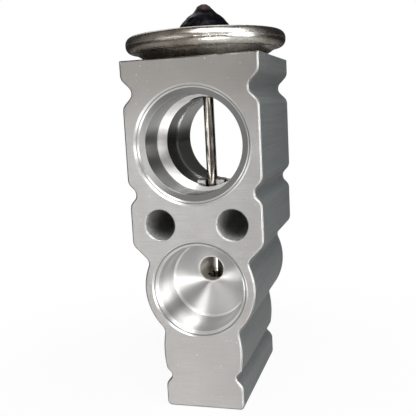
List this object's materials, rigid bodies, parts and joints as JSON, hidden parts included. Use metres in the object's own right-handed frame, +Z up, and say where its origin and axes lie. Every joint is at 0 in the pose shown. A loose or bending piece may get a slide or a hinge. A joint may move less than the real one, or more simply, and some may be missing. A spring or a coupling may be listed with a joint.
{
  "type": "refrigerant expansion valve",
  "caption": "Aluminium block valve with grooved sides, stepped pipe ports, a push rod across the suction passage, a steel power head with a resin cap, and an adjusting screw in its base.",
  "frame": {"origin": "where the valve axis meets the plane of the block's base", "axes": "+Z up along the valve axis towards the power head, -Y out of the front face with the outlet port and the suction inlet, +X to the right seen from the front"},
  "size_m": [0.0334, 0.0352, 0.0823],
  "materials": {
    "block": "machined, brushed on the faces",
    "seat": "turned",
    "ball": "polished",
    "carrier": "turned",
    "spring": "drawn wire",
    "screw": "turned",
    "seal": "smooth",
    "rod": "ground",
    "retainer": "turned",
    "head": "pressed sheet, satin",
    "diaphragm": "thin sheet",
    "stop": "turned",
    "stub": "copper tube end",
    "cap": "poured resin"
  },
  "bodies": {
    "block": {"valve_block": "block", "orifice_seat": "seat", "rod_ring": "seal", "ring_retainer": "retainer", "head_lower_shell": "head", "head_upper_shell": "head", "diaphragm": "diaphragm", "head_gasket": "seal", "charge_stub": "stub", "resin_cap": "cap", "bias_spring": "spring"},
    "stem": {"diaphragm_stop": "stop", "push_rod": "rod", "valve_ball": "ball", "ball_carrier": "carrier"},
    "adjuster_slider": {"adjuster_ring": "seal"},
    "adjuster": {"adjusting_screw": "screw"}
  },
  "joints": [
    {"name": "valve_lift", "type": "slide", "parent": "block", "child": "stem", "axis": [0, 0, -1], "range_m": [0, 0.0008], "stiffness_N_per_m": 300, "springref_m": -0.001, "deforming": ["bias_spring"]},
    {"name": "adjuster_travel", "type": "slide", "parent": "block", "child": "adjuster_slider", "axis": [0, 0, 1], "range_m": [-0.00101, 0.00101], "deforming": ["bias_spring"]},
    {"name": "adjuster_turn", "type": "hinge", "parent": "adjuster_slider", "child": "adjuster", "pos_m": [0, 0, 0.004], "axis": [0, 0, 1], "range_deg": [-360, 360]}
  ],
  "couplings": [
    {"joint": "adjuster_travel", "follows": "adjuster_turn", "m_per_rad": 0.00015915}
  ]
}
